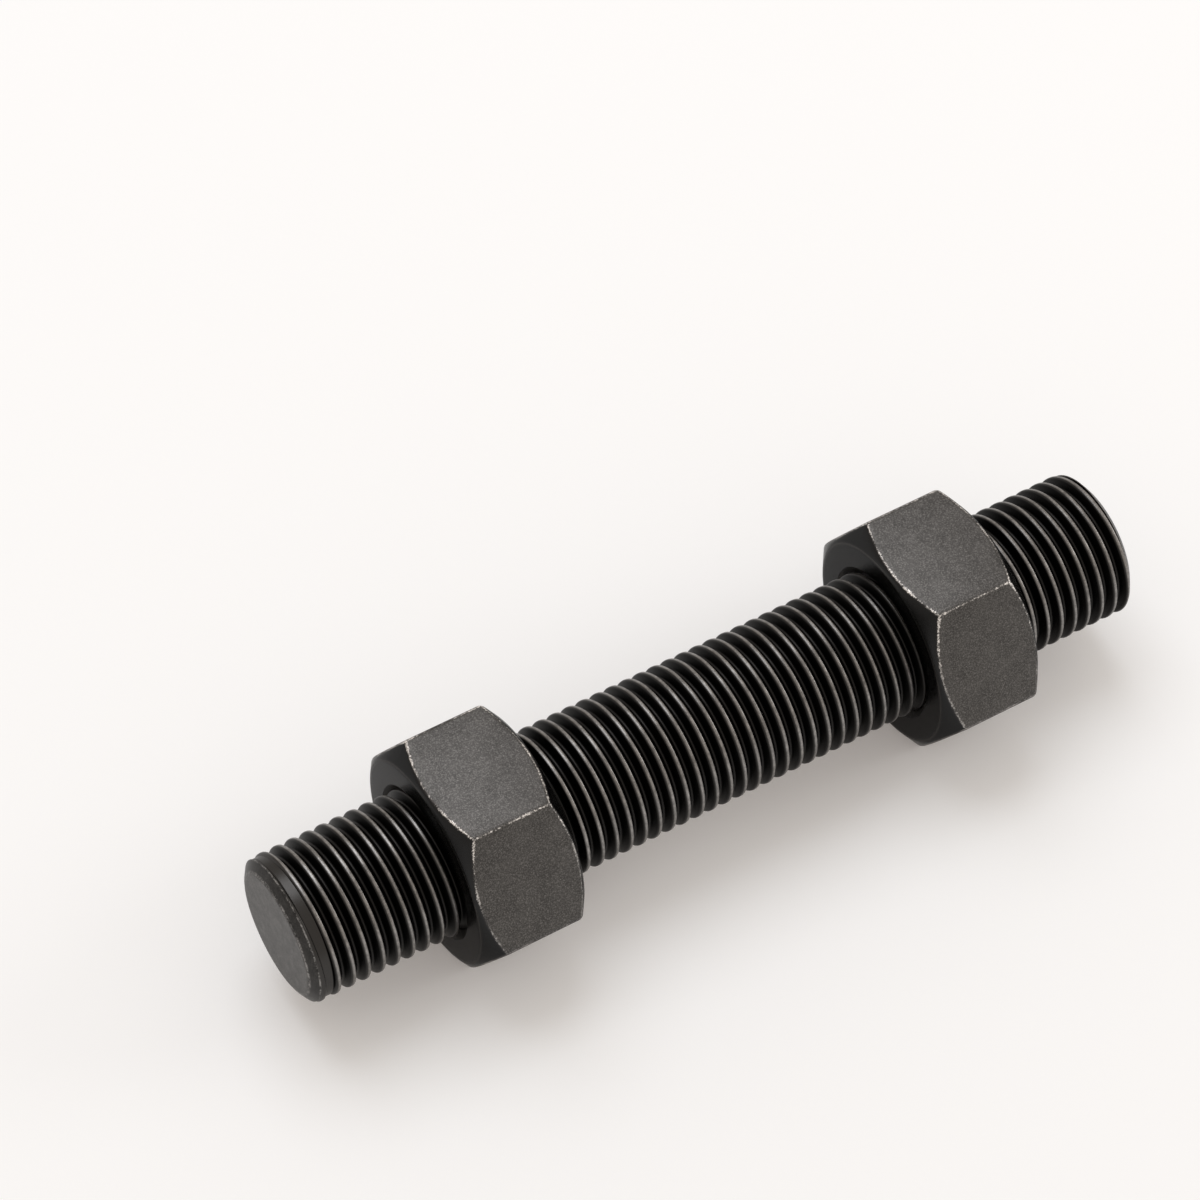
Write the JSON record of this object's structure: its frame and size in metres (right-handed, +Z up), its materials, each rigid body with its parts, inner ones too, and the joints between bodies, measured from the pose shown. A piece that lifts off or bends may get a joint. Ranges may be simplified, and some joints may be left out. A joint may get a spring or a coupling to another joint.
{
  "type": "double ended stud",
  "caption": "Black threaded stud lying on its side, with a thick chamfered hexagon nut run on near each end.",
  "frame": {"origin": "on the surface the nuts rest on, below the middle of the stud's length", "axes": "+X along the stud towards its right end, +Z up"},
  "size_m": [0.2036, 0.0566, 0.049],
  "materials": {
    "stud_steel": "black oxide, satin, with paler thread crests",
    "nut_steel": "black phosphate, matt and finely speckled, bright where the edges are worn"
  },
  "bodies": {
    "stud": {"stud": "stud_steel"},
    "left_nut": {"left_nut": "nut_steel"},
    "right_nut": {"right_nut": "nut_steel"}
  },
  "joints": [
    {"name": "left_nut_travel", "type": "slide", "parent": "stud", "child": "left_nut", "axis": [1, 0, 0], "range_m": [-0.063, 0.042]},
    {"name": "right_nut_travel", "type": "slide", "parent": "stud", "child": "right_nut", "axis": [1, 0, 0], "range_m": [-0.042, 0.0595]}
  ]
}
